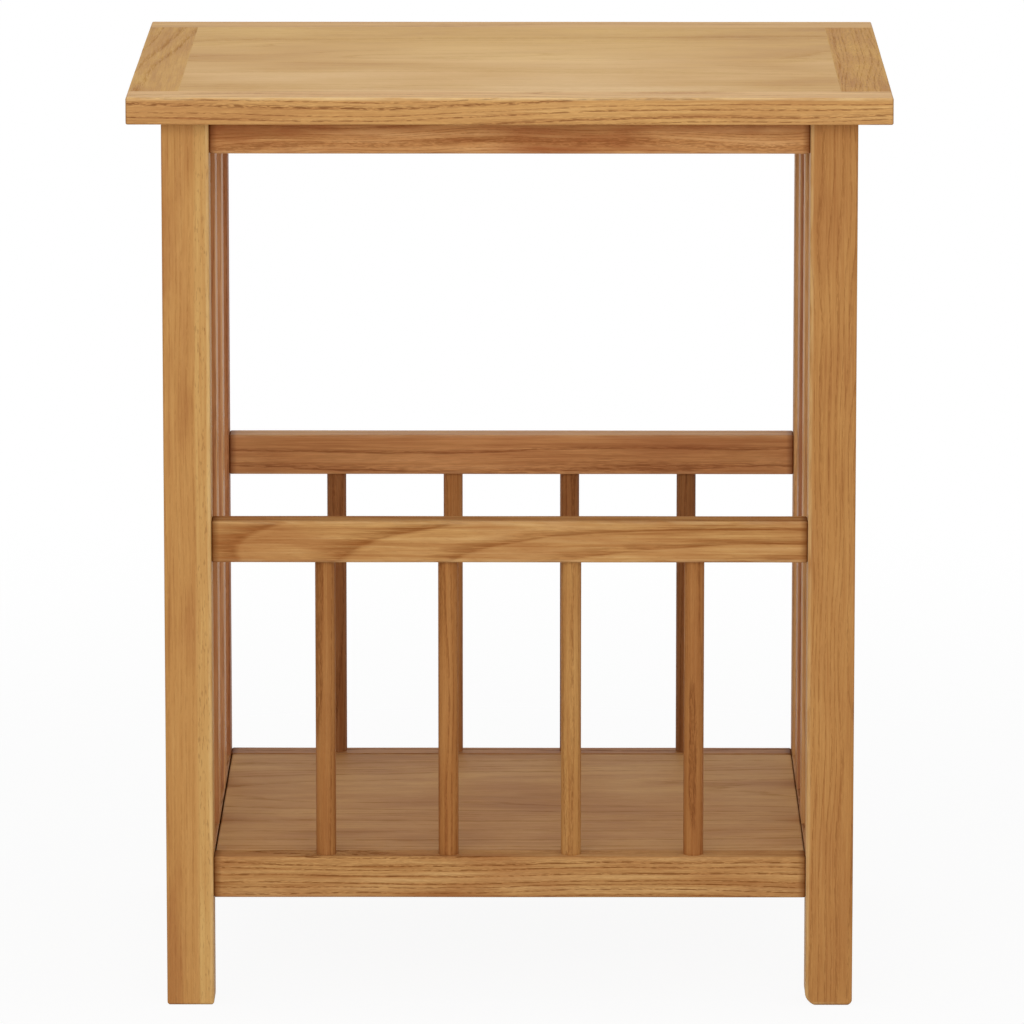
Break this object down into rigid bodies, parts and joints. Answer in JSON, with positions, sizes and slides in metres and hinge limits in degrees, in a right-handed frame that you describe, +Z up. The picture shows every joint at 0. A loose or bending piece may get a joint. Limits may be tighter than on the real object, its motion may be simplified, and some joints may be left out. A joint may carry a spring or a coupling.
{
  "type": "magazine table",
  "caption": "Small oak side table with a framed top on square legs, a low shelf, slatted sides and round-spindle racks front and back that hold magazines.",
  "frame": {"origin": "on the floor, under the middle of the top", "axes": "+Z up, +X to the right along the top's length, the front faces -Y"},
  "size_m": [0.45, 0.35, 0.55],
  "materials": {
    "oak_field": "satin oil",
    "oak_lipping": "satin oil",
    "oak_end_board": "satin oil",
    "oak_leg": "satin oil",
    "oak_rail": "satin oil",
    "oak_shelf": "satin oil",
    "oak_slat": "satin oil",
    "oak_spindle": "satin oil",
    "screw_steel": "zinc plated"
  },
  "bodies": {
    "root": {"top_field_panel": "oak_field", "top_front_lipping": "oak_lipping", "top_back_lipping": "oak_lipping", "top_left_end_board": "oak_end_board", "top_right_end_board": "oak_end_board", "leg_front_left": "oak_leg", "leg_front_right": "oak_leg", "leg_back_left": "oak_leg", "leg_back_right": "oak_leg", "front_apron": "oak_rail", "back_apron": "oak_rail", "left_top_rail": "oak_rail", "right_top_rail": "oak_rail", "rack_front_rail": "oak_rail", "rack_back_rail": "oak_rail", "shelf_front_rail": "oak_rail", "shelf_back_rail": "oak_rail", "left_bottom_rail": "oak_rail", "right_bottom_rail": "oak_rail", "shelf_panel": "oak_shelf", "left_slat_1": "oak_slat", "left_slat_2": "oak_slat", "right_slat_1": "oak_slat", "right_slat_2": "oak_slat", "front_spindle_1": "oak_spindle", "front_spindle_2": "oak_spindle", "front_spindle_3": "oak_spindle", "front_spindle_4": "oak_spindle", "back_spindle_1": "oak_spindle", "back_spindle_2": "oak_spindle", "back_spindle_3": "oak_spindle", "back_spindle_4": "oak_spindle", "top_fixing_screws": "screw_steel"}
  },
  "joints": []
}
